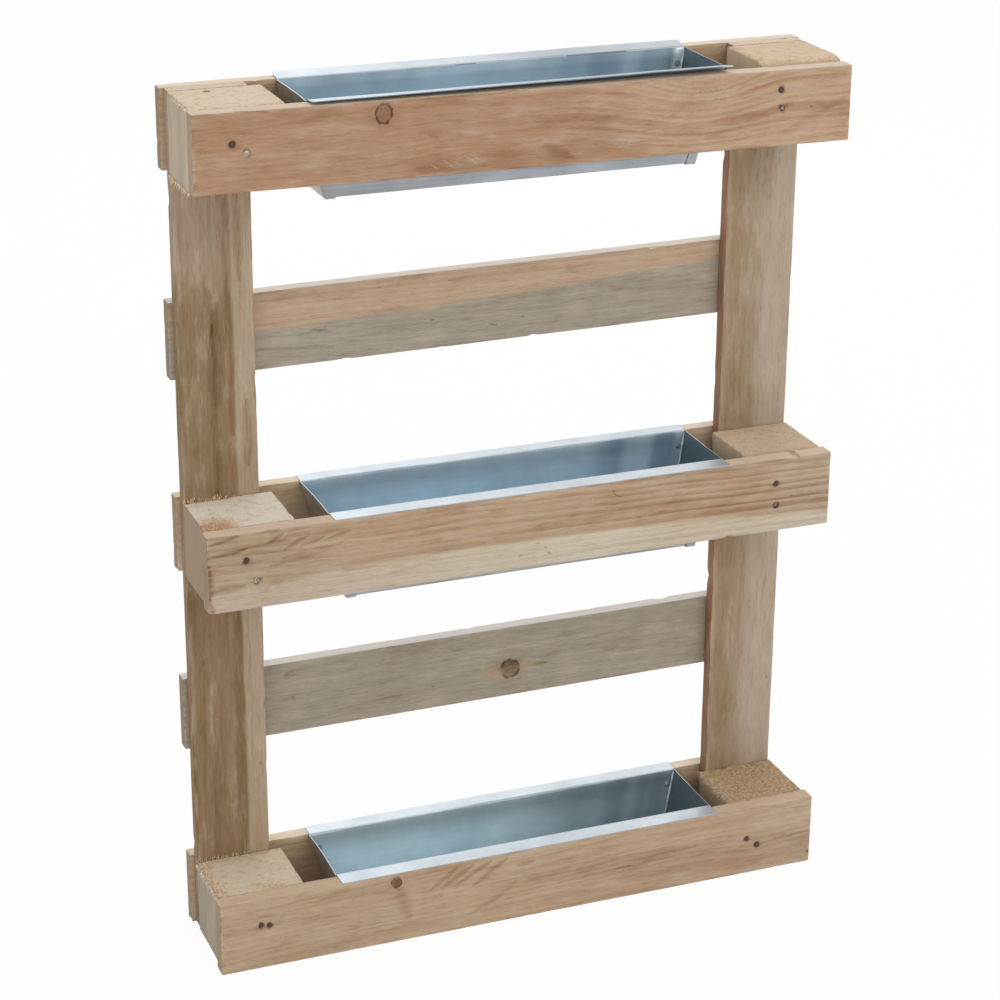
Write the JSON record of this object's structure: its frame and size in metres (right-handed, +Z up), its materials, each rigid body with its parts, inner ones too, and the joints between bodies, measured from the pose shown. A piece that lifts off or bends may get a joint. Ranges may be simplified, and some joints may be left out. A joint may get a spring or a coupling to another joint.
{
  "type": "pallet herb planter",
  "caption": "Upright wooden half-pallet frame of nailed boards and blocks, with folded galvanised troughs hung in its rows to hold potted herbs; each trough lifts out.",
  "frame": {"origin": "on the floor under the frame, midway along the boards and midway through the depth", "axes": "+X along the boards to the right seen from the front, +Y from the front boards to the rear slats, +Z up"},
  "size_m": [0.6, 0.116, 0.8037],
  "materials": {
    "front_wood": "planed pine, oiled",
    "block_wood": "rough sawn",
    "upright_wood": "sawn, weathered",
    "slat_wood": "sawn, weathered",
    "zinc_sheet": "hot-dip galvanised",
    "rivet_metal": "dull",
    "nail_steel": "bright to dull"
  },
  "bodies": {
    "frame": {"front_board_top": "front_wood", "front_board_middle": "front_wood", "front_board_bottom": "front_wood", "block_top_left": "block_wood", "block_top_right": "block_wood", "block_middle_left": "block_wood", "block_middle_right": "block_wood", "block_bottom_left": "block_wood", "block_bottom_right": "block_wood", "upright_left": "upright_wood", "upright_right": "upright_wood", "rear_slat_top": "slat_wood", "rear_slat_upper": "slat_wood", "rear_slat_middle": "slat_wood", "rear_slat_lower": "slat_wood", "rear_slat_bottom": "slat_wood", "front_nails": "nail_steel", "row_nails": "nail_steel", "slat_nails": "nail_steel"},
    "trough_top": {"trough_top_channel": "zinc_sheet", "trough_top_end_left": "zinc_sheet", "trough_top_end_right": "zinc_sheet", "trough_top_rivets": "rivet_metal"},
    "trough_middle": {"trough_middle_channel": "zinc_sheet", "trough_middle_end_left": "zinc_sheet", "trough_middle_end_right": "zinc_sheet", "trough_middle_rivets": "rivet_metal"},
    "trough_bottom": {"trough_bottom_channel": "zinc_sheet", "trough_bottom_end_left": "zinc_sheet", "trough_bottom_end_right": "zinc_sheet", "trough_bottom_rivets": "rivet_metal"}
  },
  "joints": [
    {"name": "trough_top_lift", "type": "slide", "parent": "frame", "child": "trough_top", "axis": [0, 0, 1], "range_m": [0, 0.095]},
    {"name": "trough_middle_lift", "type": "slide", "parent": "frame", "child": "trough_middle", "axis": [0, 0, 1], "range_m": [0, 0.095]},
    {"name": "trough_bottom_lift", "type": "slide", "parent": "frame", "child": "trough_bottom", "axis": [0, 0, 1], "range_m": [0, 0.095]}
  ]
}
